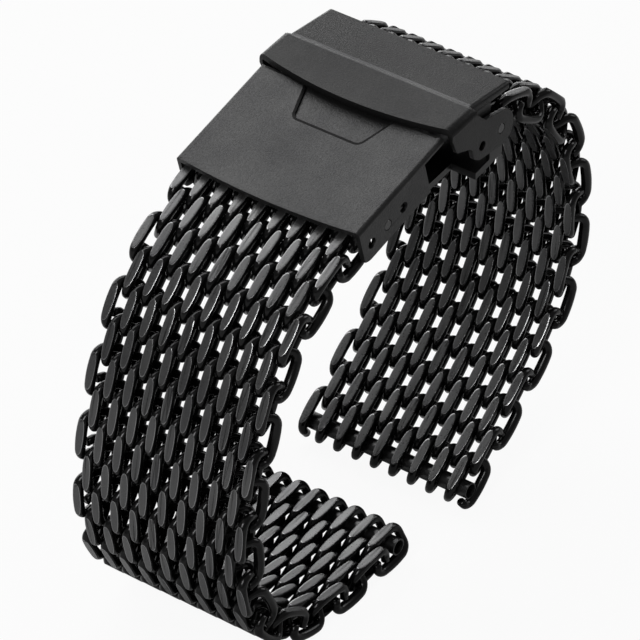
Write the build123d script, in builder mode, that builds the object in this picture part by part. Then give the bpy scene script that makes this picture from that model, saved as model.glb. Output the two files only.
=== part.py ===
import math
import os
from build123d import *

# Shark mesh watch bracelet, closed loop standing on its two straps.
# X runs from the front strap to the rear strap, Y along the hinge pins, Z up.
# Origin: middle of the box around the whole part, at the floor.

# Mesh rows
strap_width = 22.0
wire_dia = 1.04
coil_height = 3.1
row_pitch = 3.58
row_play = 0.4
bend_corner = 0.95
ground_depth = 0.15
run_pairs = 9
curl_share = 0.12

# Row directions down each strap, away from the clasp, in degrees
front_turns = [-160, -158, -154, -146, -135, -123, -115, -110, -106, -102, -96]
front_turns += [-88, -77, -63, -46, -28, -13, -3, 2, 5, 7]
rear_turns = [-4, -15, -29, -43, -55, -66, -75, -83, -91, -100, -110]
rear_turns += [-120, -130, -136, -139, -141, -142, -141]

# Spring bars and end tubes
bar_dia = 1.5
tip_dia = 1.1
tip_play = 0.05
bar_end_gap = 0.12
hook_gap = 0.06
tube_dia = 1.9
tube_wall = 0.15
tube_inset = 0.3

# Cover
cover_slope = 15.5
front_bar_x = -4.0
front_bar_z = 18.9
hole_step = 2.75
hole_depth = 2.8
cover_lead = 5.0
cover_length = 15.0
cover_side_gap = 0.1
sheet = 0.5
cover_sheet = 0.6
flange_height = 4.6
flange_length = 12.0
flange_corner = 1.8
edge_round = 0.45
nose_bulge = 0.7
pocket_start = 10.9
pocket_front = 4.1
pocket_rear = 5.6
pocket_depth = 0.4
pocket_corner = 0.8

# Blades and their hinges
blade_hinge_x = -0.8
blade_hinge_z = 15.9
cover_hinge_x = 4.9
cover_hinge_z = 21.4
pin_dia = 1.0
pin_play = 0.05
knuckle_dia = 2.1
knuckle_half = 4.2
knuckle_gap = 0.1
lug_thick = 1.0
lug_width_share = 0.9
blade_sheet = 0.8
middle_half = 7.2
middle_setback = 1.7
slot_half = 2.2
slot_length = 2.4
end_half = 8.5
end_mid_x = 7.4
end_mid_z = 16.2
end_tail_x = 15.6
end_tail_z = 17.7

# End block, rear plate and safety flap
rear_bar_x = 14.4
rear_bar_z = 21.1
cheek_start = 11.0
cheek_waist = 13.4
cheek_back = 15.5
rear_plate_end = 16.8
rear_plate_z = 25.3
crease_radius = 6.3
crease_gap = 0.1
plate_sheet = 0.7
flap_side_gap = 0.2
crease_x = 9.4
crease_z = 25.7
lip_x = 4.3
lip_z = 25.1
lip_bulge = 1.6
ear_hole_x = 11.1
ear_hole_z = 20.7
ear_hole_dia = 1.1
flap_corner = 0.35
flap_round = 0.9
ear_corner = 0.55
ear_lobe_share = 0.335

# Outline of one ear in shares of the crease radius, from the rear bar
ear_shares = [(-1.43, 0.63), (-1.22, 0.16), (-0.97, 0.08), (-0.82, 0.03), (-0.75, -0.21)]
ear_shares += [(-0.6, -0.3), (0, -0.33), (0.08, 0.325), (-0.44, 0.39), (-0.6, 0.54)]
ear_shares += [(-0.8, 0.72)]

# Sizes that follow from the ones above
run_step = (strap_width - wire_dia) / (2 * run_pairs - 1)
coil_length = row_pitch + wire_dia + row_play
hook_reach = coil_length / 2 - wire_dia / 2 - bar_dia / 2 - hook_gap
tube_reach = coil_length / 2 - wire_dia / 2 - tube_dia / 2 - hook_gap
cover_in = strap_width / 2 + cover_side_gap
cover_out = cover_in + sheet
flap_in = cover_out + flap_side_gap
flap_out = flap_in + sheet
slope = math.radians(cover_slope)


def walk(start, lead, turns, side):
    """Centre and direction of every row of one strap."""
    places = []
    for number, turn in enumerate(turns):
        step = Vector(math.cos(math.radians(turn)), 0, math.sin(math.radians(turn)))
        if number == 0:
            middle = start + step * lead
        else:
            middle = last + (before + step) * (row_pitch / 2)
        out = Vector(-side * step.Z, 0, side * step.X)
        places.append(Plane(origin=middle, x_dir=step, z_dir=out))
        last = middle
        before = step
    return places


def coil_wire(odd):
    """Centreline of one flattened coil, both free ends curled in."""
    half_run = coil_length / 2 - bend_corner
    half_height = coil_height / 2
    runs = 2 * run_pairs
    first = -(runs - 1) * run_step / 2
    slant = math.hypot(coil_height, run_step)
    corner = math.sqrt(0.5)
    for number in range(runs):
        top = 1 if (number + odd) % 2 == 0 else -1
        ahead = Vector(-top, 0, 0)
        here = Vector(0, first + number * run_step, top * half_height)
        if number == 0:
            drop = Vector(0, 0, -top)
            edge = here - ahead * half_run
            tip = edge - ahead * bend_corner + drop * (half_height + curl_share * coil_height)
            low = edge - ahead * bend_corner + drop * bend_corner
            mid = edge + drop * bend_corner + (-ahead - drop) * (bend_corner * corner)
            Line(tip, low)
            ThreePointArc(low, mid, edge)
        Line(here - ahead * half_run, here + ahead * half_run)
        edge = here + ahead * half_run
        if number == runs - 1:
            drop = Vector(0, 0, -top)
            tip = edge + ahead * bend_corner + drop * (half_height + curl_share * coil_height)
            low = edge + ahead * bend_corner + drop * bend_corner
            mid = edge + drop * bend_corner + (ahead - drop) * (bend_corner * corner)
            ThreePointArc(edge, mid, low)
            Line(low, tip)
        else:
            drop = Vector(0, run_step / slant, -top * coil_height / slant)
            low = edge + (ahead + drop) * bend_corner
            mid = edge + drop * bend_corner + (ahead - drop) * (bend_corner * corner)
            far = edge + drop * slant
            high = far + (ahead - drop) * bend_corner
            turn = far - drop * bend_corner + (ahead + drop) * (bend_corner * corner)
            ThreePointArc(edge, mid, low)
            Line(low, high)
            ThreePointArc(high, turn, far)


# Even and odd coils, the two shapes that take turns along a strap
coils = []
for odd in (0, 1):
    with BuildPart() as coil:
        with BuildLine() as path:
            coil_wire(odd)
        with BuildSketch(Plane(origin=path.line @ 0, z_dir=path.line % 0)):
            Circle(wire_dia / 2)
        sweep()
        flat = coil_height / 2 + wire_dia / 2 - ground_depth
        for side in (1, -1):
            with Locations((0, 0, side * (flat + wire_dia / 2))):
                Box(2 * coil_length, 2 * strap_width, wire_dia, mode=Mode.SUBTRACT)
    coils.append(coil.part)

front_bar = Vector(front_bar_x, 0, front_bar_z)
rear_bar = Vector(rear_bar_x, 0, rear_bar_z)
cover_hinge = Vector(cover_hinge_x, 0, cover_hinge_z)
blade_hinge = Vector(blade_hinge_x, 0, blade_hinge_z)
front_rows = walk(front_bar, hook_reach, front_turns, -1)
rear_rows = walk(rear_bar, hook_reach, rear_turns, 1)

pieces = []

# Rows of both straps; the first row of each hangs on its spring bar
for strap, rows in (("front", front_rows), ("rear", rear_rows)):
    for number, row in enumerate(rows):
        with BuildPart() as mesh_row:
            with Locations(row.location):
                add(coils[(number + 1) % 2])
        pieces.append((f"{strap}_row_{number:02d}", mesh_row.part))

# Tubes in the last rows, for the spring bars of a watch case
for strap, rows in (("front", front_rows), ("rear", rear_rows)):
    spot = rows[-1].origin + rows[-1].x_dir * tube_reach
    with BuildPart() as end_tube:
        with BuildSketch(Plane.XZ):
            with Locations((spot.X, spot.Z)):
                Circle(tube_dia / 2)
                Circle(tube_dia / 2 - tube_wall, mode=Mode.SUBTRACT)
        extrude(amount=strap_width / 2 - tube_inset, both=True)
    pieces.append((f"{strap}_end_tube", end_tube.part))

# Spring bars: a barrel with a tip sliding out of each end
bar_places = (("front", front_bar, cover_in, cover_out), ("rear", rear_bar, cover_in, flap_out))
for strap, spot, wall, end in bar_places:
    with BuildPart() as barrel:
        with BuildSketch(Plane.XZ):
            with Locations((spot.X, spot.Z)):
                Circle(bar_dia / 2)
                Circle(tip_dia / 2 + tip_play, mode=Mode.SUBTRACT)
        extrude(amount=wall - bar_end_gap, both=True)
    pieces.append((f"{strap}_bar_barrel", barrel.part))
    for name, side in (("left", -1), ("right", 1)):
        with BuildPart() as tip:
            with BuildSketch(Plane.XZ.offset(side * (wall - 2 * bar_dia))):
                with Locations((spot.X, spot.Z)):
                    Circle(tip_dia / 2)
            extrude(amount=side * (end - wall + 2 * bar_dia))
            chamfer(tip.faces().sort_by(Axis.Y)[-1 if side < 0 else 0].edges(), tip_play)
        pieces.append((f"{strap}_bar_tip_{name}", tip.part))

# Cover: sloped top, two flanges with adjusting holes, lugs at its hinge
rise = Vector(math.cos(slope), 0, math.sin(slope))
over = Vector(-math.sin(slope), 0, math.cos(slope))
cover_nose = front_bar - rise * cover_lead + over * hole_depth
cover_side = Plane(origin=cover_nose, x_dir=rise, z_dir=(0, -1, 0))
cover_top = Plane(origin=cover_nose, x_dir=rise, z_dir=over)
lug_out = knuckle_half + knuckle_gap + lug_thick
with BuildPart() as cover:
    with BuildSketch(cover_side):
        with Locations((cover_length / 2, -flange_height / 2)):
            Rectangle(cover_length, flange_height)
        with Locations((flange_length, -cover_sheet)):
            Rectangle(
                cover_length, flange_height, align=(Align.MIN, Align.MAX), mode=Mode.SUBTRACT
            )
    extrude(amount=cover_out, both=True)
    lower = cover.edges().filter_by(Axis.Y).group_by(Axis.Z)[0].sort_by(Axis.X)[0]
    fillet(lower, flange_corner)
    long_edges = cover.faces().sort_by(Axis((0, 0, 0), over))[-1].edges()
    fillet(long_edges.filter_by(Axis.Y, reverse=True), edge_round)
    with BuildSketch(cover_side):
        with Locations((0, -cover_sheet)):
            Rectangle(
                2 * cover_length, 2 * flange_height, align=(Align.CENTER, Align.MAX)
            )
    extrude(amount=cover_in, both=True, mode=Mode.SUBTRACT)
    with BuildSketch(cover_top):
        with BuildLine():
            bow = ThreePointArc((nose_bulge, cover_out), (0, 0), (nose_bulge, -cover_out))
            Polyline(
                bow @ 1,
                (2 * cover_length, -cover_out),
                (2 * cover_length, cover_out),
                bow @ 0,
            )
        make_face()
    extrude(amount=2 * flange_height, both=True, mode=Mode.INTERSECT)
    with BuildSketch(cover_side):
        for step in (-1, 0, 1):
            with Locations((cover_lead + step * hole_step, -hole_depth)):
                Circle(tip_dia / 2 + tip_play)
    extrude(amount=flap_out, both=True, mode=Mode.SUBTRACT)
    with BuildSketch(cover_top):
        with BuildLine():
            Polyline(
                (pocket_start, pocket_front),
                (pocket_start, -pocket_front),
                (cover_length, -pocket_rear),
                (cover_length, pocket_rear),
                close=True,
            )
        make_face()
        fillet(vertices().group_by(Axis.X)[0], pocket_corner)
    extrude(amount=-pocket_depth, mode=Mode.SUBTRACT)
    hinge_spot = cover_side.to_local_coords(cover_hinge)
    for side in (1, -1):
        with BuildSketch(cover_side.offset(side * (lug_out - lug_thick / 2))):
            with Locations((hinge_spot.X, hinge_spot.Y)):
                Circle(knuckle_dia / 2)
                Rectangle(
                    knuckle_dia * lug_width_share,
                    -hinge_spot.Y - cover_sheet + ground_depth,
                    align=(Align.CENTER, Align.MIN),
                )
                Circle(pin_dia / 2 + pin_play, mode=Mode.SUBTRACT)
        extrude(amount=lug_thick / 2, both=True)
pieces.append(("cover", cover.part))

# Middle blade: a wide leaf between its two knuckles
lean = (cover_hinge - blade_hinge).normalized()
lean_up = Vector(-lean.Z, 0, lean.X)
reach = (cover_hinge - blade_hinge).length
blade_side = Plane(origin=blade_hinge, x_dir=lean, z_dir=(0, -1, 0))
blade_face = Plane(origin=blade_hinge, x_dir=lean, z_dir=lean_up)
with BuildPart() as middle_blade:
    with BuildSketch(blade_face.offset(-blade_sheet / 2)):
        with Locations((reach / 2, 0)):
            Rectangle(reach, 2 * knuckle_half)
            Rectangle(reach - 2 * middle_setback, 2 * middle_half)
            SlotOverall(slot_length, 2 * slot_half / 2, mode=Mode.SUBTRACT)
    extrude(amount=blade_sheet)
    with BuildSketch(blade_side):
        for spot in (0, reach):
            with Locations((spot, 0)):
                Circle(knuckle_dia / 2)
    extrude(amount=knuckle_half, both=True)
    with BuildSketch(blade_side):
        for spot in (0, reach):
            with Locations((spot, 0)):
                Circle(pin_dia / 2 + pin_play)
    extrude(amount=knuckle_half, both=True, mode=Mode.SUBTRACT)
pieces.append(("middle_blade", middle_blade.part))

# End blade: a bowed leaf that widens to the cheeks holding the rear strap
with BuildPart() as end_blade:
    with BuildSketch(Plane.XZ):
        with BuildLine():
            low = ThreePointArc(
                (blade_hinge_x, blade_hinge_z - blade_sheet / 2),
                (end_mid_x, end_mid_z - blade_sheet / 2),
                (end_tail_x, end_tail_z - blade_sheet / 2),
            )
            high = ThreePointArc(
                (blade_hinge_x, blade_hinge_z + blade_sheet / 2),
                (end_mid_x, end_mid_z + blade_sheet / 2),
                (end_tail_x, end_tail_z + blade_sheet / 2),
            )
            Line(low @ 0, high @ 0)
            Line(low @ 1, high @ 1)
        make_face()
    extrude(amount=cover_out, both=True)
    with BuildSketch(Plane.XY.offset(end_mid_z)):
        for side in (1, -1):
            with Locations((cheek_start, side * (end_half + cover_out) / 2)):
                Rectangle(
                    2 * cheek_start, cover_out - end_half, align=(Align.MAX, Align.CENTER)
                )
        with Locations((blade_hinge_x, 0)):
            Rectangle(
                2 * (knuckle_dia / 2 + knuckle_gap), 2 * (knuckle_half + knuckle_gap)
            )
    extrude(amount=2 * knuckle_dia, both=True, mode=Mode.SUBTRACT)
    for side in (1, -1):
        middle = side * (end_half + knuckle_half + knuckle_gap) / 2
        with BuildSketch(Plane.XZ.offset(middle)):
            with Locations((blade_hinge_x, blade_hinge_z)):
                Circle(knuckle_dia / 2)
        extrude(amount=(end_half - knuckle_half - knuckle_gap) / 2, both=True)
    plate_under = rear_plate_z - plate_sheet
    for side in (1, -1):
        with BuildSketch(Plane.XZ.offset(side * (cover_in + sheet / 2))):
            Polygon(
                (cheek_start, rear_bar_z - bar_dia),
                (cheek_waist, rear_bar_z - bar_dia),
                (cheek_waist, end_tail_z - blade_sheet),
                (end_tail_x, end_tail_z - blade_sheet / 2),
                (cheek_back, rear_bar_z + bar_dia / 2),
                (cheek_waist, rear_bar_z + 2 * bar_dia / 2 + tip_dia / 2),
                (cheek_waist, plate_under),
                (cheek_start, plate_under),
                align=None,
            )
            with Locations((rear_bar_x, rear_bar_z)):
                Circle(tip_dia / 2 + tip_play, mode=Mode.SUBTRACT)
        extrude(amount=sheet / 2, both=True)
    with BuildSketch(Plane.XZ):
        with Locations((blade_hinge_x, blade_hinge_z)):
            Circle(pin_dia / 2 + pin_play)
    extrude(amount=end_half, both=True, mode=Mode.SUBTRACT)
pieces.append(("end_blade", end_blade.part))

# Rear plate: level sheet fixed on the cheeks, cut round where the flap swings
with BuildPart() as rear_plate:
    with BuildSketch(Plane.XZ):
        Polygon(
            (lip_x, plate_under),
            (rear_plate_end, plate_under),
            (rear_plate_end, rear_plate_z),
            (crease_x, crease_z),
            (lip_x, crease_z),
            align=None,
        )
    extrude(amount=cover_out, both=True)
    with BuildSketch(Plane.XZ):
        with Locations((rear_bar_x, rear_bar_z)):
            Circle(crease_radius)
    extrude(amount=cover_out, both=True, mode=Mode.INTERSECT)
    tail = rear_plate.faces().sort_by(Axis.X)[-1].edges().filter_by(Axis.Z)
    fillet(tail, flap_corner)
    plate_run = Vector(rear_plate_end - crease_x, 0, rear_plate_z - crease_z).normalized()
    with BuildSketch(Plane(origin=(crease_x, 0, crease_z), x_dir=(0, 1, 0), z_dir=plate_run)):
        Rectangle(2 * cover_out, flange_height, align=(Align.CENTER, Align.MAX))
        fillet(vertices().group_by(Axis.Y)[-1], edge_round)
    extrude(amount=4 * crease_radius, both=True, mode=Mode.INTERSECT)
pieces.append(("rear_plate", rear_plate.part))

# Safety flap: top sheet with a bowed lip, and side ears back to the rear bar
flap_run = Vector(crease_x - lip_x, 0, crease_z - lip_z).normalized()
ear_outline = [
    (rear_bar_x + along * crease_radius, rear_bar_z + up * crease_radius)
    for along, up in ear_shares
]
with BuildPart() as safety_flap:
    with BuildSketch(Plane.XZ):
        Polygon(
            (lip_x, lip_z),
            (crease_x + plate_sheet, crease_z + plate_sheet * flap_run.Z / flap_run.X),
            (crease_x + plate_sheet, crease_z - plate_sheet),
            (lip_x, lip_z - plate_sheet),
            align=None,
        )
    extrude(amount=flap_out, both=True)
    with BuildSketch(Plane.XZ):
        with Locations((rear_bar_x, rear_bar_z)):
            Circle(crease_radius + crease_gap)
    extrude(amount=flap_in, both=True, mode=Mode.SUBTRACT)
    for side in (1, -1):
        with BuildSketch(Plane.XZ.offset(side * (flap_in + sheet / 2))):
            Polygon(*ear_outline, align=None)
            fillet(vertices().sort_by(Axis.X)[2:-2], ear_corner)
            with Locations((rear_bar_x, rear_bar_z)):
                Circle(ear_lobe_share * crease_radius)
                Circle(tip_dia / 2 + tip_play, mode=Mode.SUBTRACT)
            with Locations((ear_hole_x, ear_hole_z)):
                Circle(ear_hole_dia / 2, mode=Mode.SUBTRACT)
        extrude(amount=sheet / 2, both=True)
    with BuildSketch(Plane(origin=(lip_x, 0, lip_z), x_dir=(0, 1, 0), z_dir=flap_run)):
        Rectangle(2 * flap_out, 4 * flange_height, align=(Align.CENTER, Align.MAX))
        fillet(vertices().group_by(Axis.Y)[-1], flap_round)
    extrude(amount=4 * crease_radius, both=True, mode=Mode.INTERSECT)
    with BuildSketch(Plane.XY.offset(crease_z)):
        with BuildLine():
            bow = ThreePointArc(
                (lip_x + lip_bulge, flap_out), (lip_x, 0), (lip_x + lip_bulge, -flap_out)
            )
            Polyline(
                bow @ 1,
                (2 * rear_bar_x, -flap_out),
                (2 * rear_bar_x, flap_out),
                bow @ 0,
            )
        make_face()
    extrude(amount=flange_height * 2, both=True, mode=Mode.INTERSECT)
pieces.append(("safety_flap", safety_flap.part))

# Hinge pins of the two blades
for name, spot, half in (
    ("cover_hinge_pin", cover_hinge, lug_out),
    ("blade_hinge_pin", blade_hinge, end_half),
):
    with BuildPart() as pin:
        with BuildSketch(Plane.XZ):
            with Locations((spot.X, spot.Z)):
                Circle(pin_dia / 2)
        extrude(amount=half, both=True)
        chamfer(pin.edges().filter_by(GeomType.CIRCLE), pin_play)
    pieces.append((name, pin.part))

# Whole part moved so that it stands on the floor over the origin
box = Compound(children=[Compound([piece]) for name, piece in pieces]).bounding_box()
home = Vector(-box.center().X, -box.center().Y, -box.min.Z)
os.makedirs("parts", exist_ok=True)
for name, piece in pieces:
    with BuildPart() as placed:
        with Locations(home):
            add(piece)
    placed.part.label = name
    export_step(placed.part, f"parts/{name}.step")
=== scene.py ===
import math
import bmesh
import bpy
from mathutils import Vector, Matrix


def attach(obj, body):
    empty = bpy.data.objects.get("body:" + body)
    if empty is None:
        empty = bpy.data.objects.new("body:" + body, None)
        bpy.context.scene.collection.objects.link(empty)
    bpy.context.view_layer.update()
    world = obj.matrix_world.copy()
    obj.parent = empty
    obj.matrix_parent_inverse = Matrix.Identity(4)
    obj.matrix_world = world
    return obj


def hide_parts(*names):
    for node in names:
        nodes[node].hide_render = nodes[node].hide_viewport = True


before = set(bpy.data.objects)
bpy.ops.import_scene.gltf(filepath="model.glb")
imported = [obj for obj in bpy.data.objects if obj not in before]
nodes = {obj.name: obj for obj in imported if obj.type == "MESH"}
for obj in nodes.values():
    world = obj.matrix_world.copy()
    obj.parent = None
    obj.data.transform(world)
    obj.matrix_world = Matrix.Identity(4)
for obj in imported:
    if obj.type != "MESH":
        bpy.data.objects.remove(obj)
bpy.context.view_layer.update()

# Camera: a long lens above the front left corner, looking down at the clasp.
# The point that it looks at is the middle of the loop, in metres.
loop_middle = Vector((-0.002913, 0.0, 0.027119))
camera_turn = math.radians(-52.8)
camera_rise = math.radians(35.4)
camera_distance = 0.6
away = Vector((
    math.sin(camera_turn) * math.cos(camera_rise),
    -math.cos(camera_turn) * math.cos(camera_rise),
    math.sin(camera_rise),
))
lens = bpy.data.cameras.new("photo_camera")
lens.lens = 326.0
lens.sensor_width = 36.0
lens.clip_start = 0.01
lens.clip_end = 50.0
camera = bpy.data.objects.new("photo_camera", lens)
camera.location = loop_middle + away * camera_distance
camera.rotation_euler = (-away).to_track_quat("-Z", "Y").to_euler()
bpy.context.scene.collection.objects.link(camera)
bpy.context.scene.camera = camera
bpy.context.scene.view_settings.view_transform = "Standard"

# Studio: one large pale table sheet under a plain white room. The camera sees
# both as white; the bracelet mirrors a darker table and room.
white = (1, 1, 1, 1)
mirrored_table = (0.5, 0.5, 0.5, 1)
table_glow_share = 0.93
mirrored_air = 0.2
seen_air = 1.0
table_half = 3.0
sheet_mesh = bmesh.new()
bmesh.ops.create_grid(sheet_mesh, x_segments=1, y_segments=1, size=table_half)
floor_data = bpy.data.meshes.new("table_top")
sheet_mesh.to_mesh(floor_data)
sheet_mesh.free()
table_top = bpy.data.objects.new("table_top", floor_data)
bpy.context.scene.collection.objects.link(table_top)
floor_white = bpy.data.materials.new("table_white")
floor_white.use_nodes = True
floor_tree = floor_white.node_tree
floor_shader = floor_tree.nodes["Principled BSDF"]
floor_shader.inputs["Base Color"].default_value = mirrored_table
floor_shader.inputs["Roughness"].default_value = 0.9
floor_shader.inputs["Specular IOR Level"].default_value = 0.1
floor_glow = floor_tree.nodes.new("ShaderNodeEmission")
floor_glow.inputs["Color"].default_value = white
floor_glow.inputs["Strength"].default_value = 1.0
floor_ray = floor_tree.nodes.new("ShaderNodeLightPath")
floor_share = floor_tree.nodes.new("ShaderNodeMath")
floor_share.operation = "MULTIPLY"
floor_share.inputs[1].default_value = table_glow_share
floor_mix = floor_tree.nodes.new("ShaderNodeMixShader")
floor_tree.links.new(floor_ray.outputs["Is Camera Ray"], floor_share.inputs[0])
floor_tree.links.new(floor_share.outputs[0], floor_mix.inputs["Fac"])
floor_tree.links.new(floor_shader.outputs[0], floor_mix.inputs[1])
floor_tree.links.new(floor_glow.outputs[0], floor_mix.inputs[2])
floor_end = floor_tree.nodes["Material Output"]
floor_tree.links.new(floor_mix.outputs[0], floor_end.inputs["Surface"])
table_top.data.materials.append(floor_white)

world = bpy.data.worlds.new("studio_air")
bpy.context.scene.world = world
world.use_nodes = True
air = world.node_tree
air.nodes["Background"].inputs["Color"].default_value = white
air.nodes["Background"].inputs["Strength"].default_value = mirrored_air
plain_air = air.nodes.new("ShaderNodeBackground")
plain_air.inputs["Color"].default_value = white
plain_air.inputs["Strength"].default_value = seen_air
air_ray = air.nodes.new("ShaderNodeLightPath")
air_mix = air.nodes.new("ShaderNodeMixShader")
air.links.new(air_ray.outputs["Is Camera Ray"], air_mix.inputs["Fac"])
air.links.new(air.nodes["Background"].outputs[0], air_mix.inputs[1])
air.links.new(plain_air.outputs[0], air_mix.inputs[2])
air.links.new(air_mix.outputs[0], air.nodes["World Output"].inputs["Surface"])


def soft_lamp(name, place, size, watts):
    """A rectangular soft box that faces the bracelet."""
    lamp = bpy.data.lights.new(name, "AREA")
    lamp.shape = "RECTANGLE"
    lamp.size = size[0]
    lamp.size_y = size[1]
    lamp.energy = watts
    holder = bpy.data.objects.new(name, lamp)
    holder.location = place
    away_from_part = Vector(place) - lamp_aim
    holder.rotation_euler = away_from_part.to_track_quat("Z", "Y").to_euler()
    bpy.context.scene.collection.objects.link(holder)


lamp_aim = Vector((0, 0, 0.03))
soft_lamp("rear_softbox", place=(0.16, 0.32, 0.5), size=(0.75, 0.34), watts=3.0)
soft_lamp("far_softbox", place=(0.3, 0.6, 0.06), size=(0.9, 0.3), watts=3.2)
soft_lamp("left_softbox", place=(-0.5, -0.1, 0.45), size=(0.2, 0.3), watts=2.2)
soft_lamp("right_softbox", place=(0.5, -0.2, 0.3), size=(0.2, 0.3), watts=0.6)

# Mesh rows: flattened coils of coated steel wire, hooked into each other half
# a step apart and ground on both faces. The bowed runs are thickest at
# mid-length, so that grinding leaves long pointed faces with narrow rims.


def coated_steel(name, tone, rough, grain, grain_size, stretch=(1, 1, 1), bump=0.02):
    """Dark coating: a little cloudiness, fine grain and slightly uneven gloss."""
    coat = bpy.data.materials.new(name)
    coat.use_nodes = True
    tree = coat.node_tree
    shader = tree.nodes["Principled BSDF"]
    shader.inputs["Metallic"].default_value = 0.85
    where = tree.nodes.new("ShaderNodeTexCoord")
    turn = tree.nodes.new("ShaderNodeMapping")
    turn.inputs["Scale"].default_value = stretch
    tree.links.new(where.outputs["Object"], turn.inputs["Vector"])
    fine = tree.nodes.new("ShaderNodeTexNoise")
    fine.inputs["Scale"].default_value = grain_size
    fine.inputs["Detail"].default_value = 6.0
    tree.links.new(turn.outputs["Vector"], fine.inputs["Vector"])
    broad = tree.nodes.new("ShaderNodeTexNoise")
    broad.inputs["Scale"].default_value = 180.0
    broad.inputs["Detail"].default_value = 3.0
    tree.links.new(where.outputs["Object"], broad.inputs["Vector"])
    shade = tree.nodes.new("ShaderNodeValToRGB")
    shade.color_ramp.elements[0].position = 0.3
    shade.color_ramp.elements[1].position = 0.72
    shade.color_ramp.elements[0].color = (tone * 0.82, tone * 0.82, tone * 0.84, 1)
    shade.color_ramp.elements[1].color = (tone * 1.2, tone * 1.2, tone * 1.2, 1)
    tree.links.new(broad.outputs["Fac"], shade.inputs["Fac"])
    tree.links.new(shade.outputs["Color"], shader.inputs["Base Color"])
    gloss = tree.nodes.new("ShaderNodeMapRange")
    gloss.inputs["From Min"].default_value = 0.25
    gloss.inputs["From Max"].default_value = 0.75
    gloss.inputs["To Min"].default_value = rough - grain
    gloss.inputs["To Max"].default_value = rough + grain
    tree.links.new(fine.outputs["Fac"], gloss.inputs["Value"])
    tree.links.new(gloss.outputs["Result"], shader.inputs["Roughness"])
    relief = tree.nodes.new("ShaderNodeBump")
    relief.inputs["Strength"].default_value = bump
    relief.inputs["Distance"].default_value = 0.0001
    tree.links.new(fine.outputs["Fac"], relief.inputs["Height"])
    tree.links.new(relief.outputs["Normal"], shader.inputs["Normal"])
    return coat


def merged_copy(node):
    """A closed, merged mesh of a CAD node, ready to be finished."""
    shape = bmesh.new()
    shape.from_mesh(nodes[node].data)
    bmesh.ops.remove_doubles(shape, verts=shape.verts, dist=1e-6)
    return shape


def finish_piece(name, shape, body, slot, coats, *stands_for):
    data = bpy.data.meshes.new(name)
    shape.to_mesh(data)
    shape.free()
    for coat in coats:
        data.materials.append(coat)
    piece = bpy.data.objects.new(name, data)
    bpy.context.scene.collection.objects.link(piece)
    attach(piece, body)
    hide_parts(*stands_for)


wire_grain = 9000.0
sheet_grain = 5200.0
# The rim coat is painted far lighter than the ground faces: a painted highlight along the rims of
# the ground flats.
coil_coats = (
    coated_steel("wire_coat", 0.018, rough=0.2, grain=0.06, grain_size=wire_grain, bump=0.03),
    coated_steel("ground_wire_face", 0.1, rough=0.33, grain=0.1, grain_size=sheet_grain, bump=0.12),
    coated_steel("wire_rim_painted_highlight", 0.26, rough=0.24, grain=0.08, grain_size=sheet_grain, bump=0.05),
)
front_turns = [-160, -158, -154, -146, -135, -123, -115, -110, -106, -102, -96]
front_turns += [-88, -77, -63, -46, -28, -13, -3, 2, 5, 7]
rear_turns = [-4, -15, -29, -43, -55, -66, -75, -83, -91, -100, -110]
rear_turns += [-120, -130, -136, -139, -141, -142, -141]
row_pitch = 0.00358
run_step = 0.001233
coil_length = 0.00502
coil_height = 0.0031
bend_corner = 0.00095
runs_per_coil = 18
bend_steps = 6
run_shares = (0.2, 0.4, 0.6, 0.8)
tip_share = -0.24
leg_radius = 0.00047
run_swell = 0.0001
bow_out = 0.00004
bow_in = 0.0003
flat_height = 0.00189
rim_bevel = 0.00005
rim_strip_width = 0.00006
rim_strip_rise = 0.00002
inner_width = 0.0001
inner_rise = 0.00001
front_bar = Vector((-0.006913, 0, 0.046019))
rear_bar = Vector((0.011487, 0, 0.048219))
bar_to_row = 0.00118


def coil_path(odd):
    """Places along one coil with the wire's radius there, from tip to tip."""
    corners = []
    for number in range(runs_per_coil):
        top = 1 if (number + odd) % 2 == 0 else -1
        across = (number - (runs_per_coil - 1) / 2) * run_step
        for end in (top, -top):
            corners.append(Vector((end * coil_length / 2, across, top * coil_height / 2)))
    first_tip = corners[0] * 1.0
    first_tip.z *= tip_share
    last_tip = corners[-1] * 1.0
    last_tip.z *= tip_share
    stops = [first_tip] + corners + [last_tip]
    places = [first_tip]
    for before, here, after in zip(stops, stops[1:], stops[2:]):
        arrive = (here - before).normalized()
        leave = (after - here).normalized()
        for step in range(bend_steps + 1):
            part = math.radians(90 / bend_steps * step)
            bend = leave * (1 - math.cos(part)) - arrive * (1 - math.sin(part))
            places.append(here + bend * bend_corner)
        if abs(leave.x) > 0.5:
            for share in run_shares:
                start = here + leave * bend_corner
                places.append(start.lerp(after - leave * bend_corner, share))
    places.append(last_tip)
    path = []
    for place in places:
        along = abs(place.x) / (coil_length / 2)
        high = abs(place.z) / (coil_height / 2)
        radius = leg_radius + run_swell * high ** 2 * (1.15 - 0.6 * along ** 2)
        bowed = place * 1.0
        bowed.z *= 1 + (bow_out - bow_in * along ** 2) / (coil_height / 2)
        path.append((bowed, radius))
    return path


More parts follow.
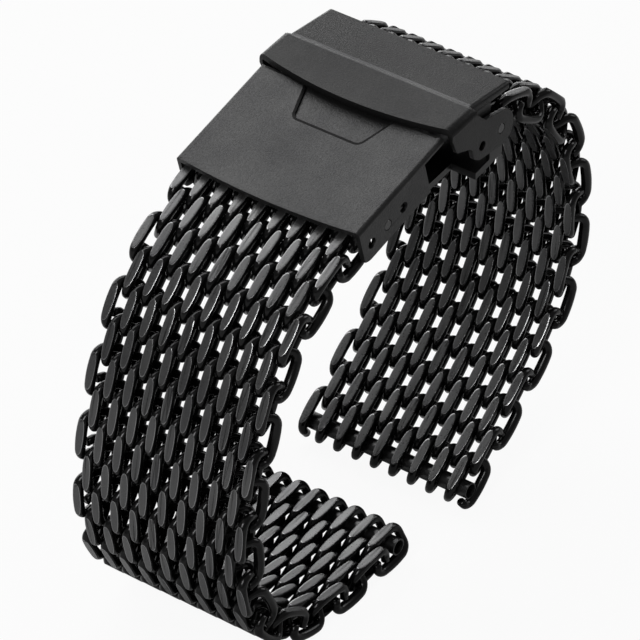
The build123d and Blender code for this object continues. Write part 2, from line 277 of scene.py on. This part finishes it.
def coil_mesh(odd):
    """Round wire along the path, ground flat on both faces."""
    path = coil_path(odd)
    line = bpy.data.curves.new("coil_line", "CURVE")
    line.dimensions = "3D"
    line.bevel_depth = 1.0
    line.bevel_resolution = 7
    line.use_fill_caps = True
    wire = line.splines.new("POLY")
    wire.points.add(len(path) - 1)
    for point, (place, radius) in zip(wire.points, path):
        point.co = (*place, 1)
        point.radius = radius
    holder = bpy.data.objects.new("coil_line", line)
    raw = bpy.data.meshes.new_from_object(holder)
    coil = bmesh.new()
    coil.from_mesh(raw)
    bpy.data.objects.remove(holder)
    bpy.data.curves.remove(line)
    bpy.data.meshes.remove(raw)
    bmesh.ops.remove_doubles(coil, verts=coil.verts, dist=1e-7)
    for face in coil.faces:
        face.smooth = True
    for side in (1, -1):
        cut = bmesh.ops.bisect_plane(
            coil,
            geom=coil.verts[:] + coil.edges[:] + coil.faces[:],
            plane_co=(0, 0, side * flat_height),
            plane_no=(0, 0, side),
            clear_outer=True,
        )
        rims = [item for item in cut["geom_cut"] if isinstance(item, bmesh.types.BMEdge)]
        ground = bmesh.ops.holes_fill(coil, edges=rims, sides=0)
        for face in ground["faces"]:
            face.material_index = 1
    rims = [
        edge
        for edge in coil.edges
        if len({face.material_index for face in edge.link_faces}) == 2
    ]
    # The rim bevel gets the rim coat, a painted highlight.
    bmesh.ops.bevel(
        coil,
        geom=rims,
        offset=rim_bevel,
        offset_type="OFFSET",
        affect="EDGES",
        segments=2,
        profile=0.5,
        material=2,
        clamp_overlap=True,
    )
    bmesh.ops.recalc_face_normals(coil, faces=coil.faces)
    ground = [face for face in coil.faces if face.material_index == 1]
    # A narrow strip round each ground face also gets the painted-highlight rim coat.
    rim_strip = bmesh.ops.inset_individual(
        coil, faces=ground, thickness=rim_strip_width, depth=rim_strip_rise
    )
    for face in rim_strip["faces"]:
        face.material_index = 2
    bmesh.ops.inset_individual(coil, faces=ground, thickness=inner_width, depth=inner_rise)
    for face in ground:
        face.smooth = False
    return coil


coil_shapes = [coil_mesh(0), coil_mesh(1)]
for strap, turns, bar, side in (
    ("front", front_turns, front_bar, -1),
    ("rear", rear_turns, rear_bar, 1),
):
    middle = bar
    before = None
    for number, turn in enumerate(turns):
        step = Vector((math.cos(math.radians(turn)), 0, math.sin(math.radians(turn))))
        if before is None:
            middle = bar + step * bar_to_row
        else:
            middle = middle + (before + step) * (row_pitch / 2)
        before = step
        out = Vector((-side * step.z, 0, side * step.x))
        place = Matrix((step, out.cross(step), out)).transposed().to_4x4()
        place.translation = middle
        coil = coil_shapes[(number + 1) % 2].copy()
        bmesh.ops.transform(coil, matrix=place, verts=coil.verts)
        row = f"{strap}_row_{number:02d}"
        finish_piece(row + "_coil", coil, row, "mesh_wire", coil_coats, row)

# Spring bars, hinge pins and end tubes: plain turned steel with the same dark
# coating. All keep their drawn shape.
turning_lines = (1, 0.05, 1)
turned_steel = coated_steel("turned_steel", 0.06, 0.28, 0.06, 4000.0, turning_lines, 0.04)
dark_turned = coated_steel("dark_turned_steel", 0.05, 0.3, 0.06, 4000.0, turning_lines, 0.04)
for name in nodes:
    if "_bar_" in name or name.endswith("_pin"):
        nodes[name].data.materials.clear()
        nodes[name].data.materials.append(turned_steel)
    if name.endswith("_tube"):
        nodes[name].data.materials.clear()
        nodes[name].data.materials.append(dark_turned)

# Clasp sheets: cover, rear plate and safety flap in satin black steel.
# Broad faces are flat, and every pressed edge is slightly rounded.
satin_black = coated_steel("satin_black_sheet", 0.034, 0.42, 0.1, sheet_grain, bump=0.35)
# The rear plate and safety flap get a darker copy of the same satin black: painted shade for how
# dimly they are lit.
flap_and_plate_painted_shade = coated_steel("flap_and_plate_shaded_black", 0.017, 0.42, 0.1, sheet_grain, bump=0.35)
# A lighter copy of the sheet coat, used beside the crease as a painted highlight.
crease_highlight_paint = coated_steel("crease_painted_highlight", 0.05, 0.42, 0.08, sheet_grain, bump=0.2)
# Near-black for the strip along the finger recess: painted shade at the recess edge.
recess_shade_paint = coated_steel("recess_painted_shade", 0.006, 0.6, 0.05, sheet_grain, bump=0.1)
broad_face = 0.000004
dissolve_angle = math.radians(0.5)
bevel_angle = 0.5
sharp_angle = 0.7
fine_edge = 0.00006
flap_edge = 0.00008
plate_edge = 0.0001
tail_start = 0.01499
tail_reach = 0.0004
recess_start = 0.0105
recess_end = 0.01585
recess_half = 0.0057
on_face = 0.00002
crease_line = Vector((0.00712, 0, 0.0528))
crease_reach = 0.00036
crease_drop = 0.00011
rim_width = 0.0003
rim_drop = 0.00014
cover_slope = math.radians(15.5)
cover_rise = Vector((math.cos(cover_slope), 0, math.sin(cover_slope)))
cover_over = Vector((-cover_rise.z, 0, cover_rise.x))
cover_nose = front_bar - cover_rise * 0.005 + cover_over * 0.0028


def on_pocket_rim(edge):
    """True for the edges where the cover's top runs into its finger recess."""
    for vert in edge.verts:
        spot = vert.co - cover_nose
        if abs(spot.dot(cover_over)) > on_face or abs(spot.y) >= recess_half:
            return False
        if not recess_start < spot.dot(cover_rise) < recess_end:
            return False
    return True


def roll_crease(sheet, way):
    """Rounds the top edge beside the crease and paints that strip lighter, a painted highlight; way
    is -1 in front of it, 1 behind.
    """
    for share in (1, 0.5):
        bmesh.ops.bisect_plane(
            sheet,
            geom=sheet.verts[:] + sheet.edges[:] + sheet.faces[:],
            plane_co=crease_line + Vector((way * share * crease_reach, 0, 0)),
            plane_no=(1, 0, 0),
        )
    sheet.normal_update()
    # Top faces beside the crease get the painted highlight.
    for face in sheet.faces:
        gap = (face.calc_center_median().x - crease_line.x) * way
        if 0 < gap < crease_reach and face.normal.z > 0.9:
            face.material_index = 2
    for vert in sheet.verts:
        gap = max(0, (vert.co.x - crease_line.x) * way)
        if gap < crease_reach and vert.co.z > crease_line.z - 2 * crease_drop:
            vert.co.z -= crease_drop * (1 - gap / crease_reach) ** 2


def roll_recess_rim(sheet):
    """Cuts a strip along the cover's top edges, rolls it into the recess and paints it near-black
    as painted shade.
    """
    sheet.normal_update()
    top = [
        face
        for face in sheet.faces
        if face.normal.dot(cover_over) > 0.999
        and abs((face.calc_center_median() - cover_nose).dot(cover_over)) < on_face * 1.5
    ]
    strip = bmesh.ops.inset_region(
        sheet, faces=top, thickness=rim_width, use_even_offset=True, use_boundary=True
    )
    low = set()
    for face in strip["faces"]:
        rim = [edge for edge in face.edges if on_pocket_rim(edge)]
        if rim:
            # Painted shade on the recess edge.
            face.material_index = 1
            low.update(vert for edge in rim for vert in edge.verts)
    bmesh.ops.translate(sheet, verts=list(low), vec=-cover_over * rim_drop)


def rounded_sheet(node, body, slot, coat, radius):
    """Sheet piece with rounded edges; only its broad faces stay flat."""
    sheet = merged_copy(node)
    bmesh.ops.dissolve_limit(
        sheet, angle_limit=dissolve_angle, verts=sheet.verts, edges=sheet.edges
    )
    if node == "cover":
        tail = [
            vert
            for vert in sheet.verts
            if (vert.co - cover_nose).dot(cover_rise) > tail_start
        ]
        bmesh.ops.translate(sheet, verts=tail, vec=cover_rise * tail_reach)
        roll_recess_rim(sheet)
    if node in ("safety_flap", "rear_plate"):
        roll_crease(sheet, -1 if node == "safety_flap" else 1)
    crisp = [
        edge
        for edge in sheet.edges
        if len(edge.link_faces) == 2 and edge.calc_face_angle(0) > bevel_angle
    ]
    bmesh.ops.bevel(
        sheet,
        geom=crisp,
        offset=radius,
        offset_type="OFFSET",
        affect="EDGES",
        segments=3,
        profile=0.5,
        material=-1,
        clamp_overlap=True,
    )
    for face in sheet.faces:
        face.smooth = face.calc_area() < broad_face
    for edge in sheet.edges:
        if len(edge.link_faces) == 2 and edge.calc_face_angle(0) > sharp_angle:
            edge.smooth = False
    finish_piece(node + "_sheet", sheet, body, slot, (coat, recess_shade_paint, crease_highlight_paint), node)


rounded_sheet("cover", "cover", "clasp_sheet", satin_black, fine_edge)
rounded_sheet("rear_plate", "end_block", "clasp_sheet", flap_and_plate_painted_shade, plate_edge)
rounded_sheet("safety_flap", "safety_flap", "clasp_sheet", flap_and_plate_painted_shade, flap_edge)

# Folding blades: thin sprung leaves with knuckles, mostly hidden in the clasp.
# Their brushed lines run along the blades.
blade_black = coated_steel("blade_black", 0.03, 0.34, 0.06, 2600.0, (0.04, 1, 1), 0.05)
rounded_sheet("end_blade", "end_block", "blade_steel", blade_black, fine_edge)
rounded_sheet("middle_blade", "middle_blade", "blade_steel", blade_black, fine_edge)
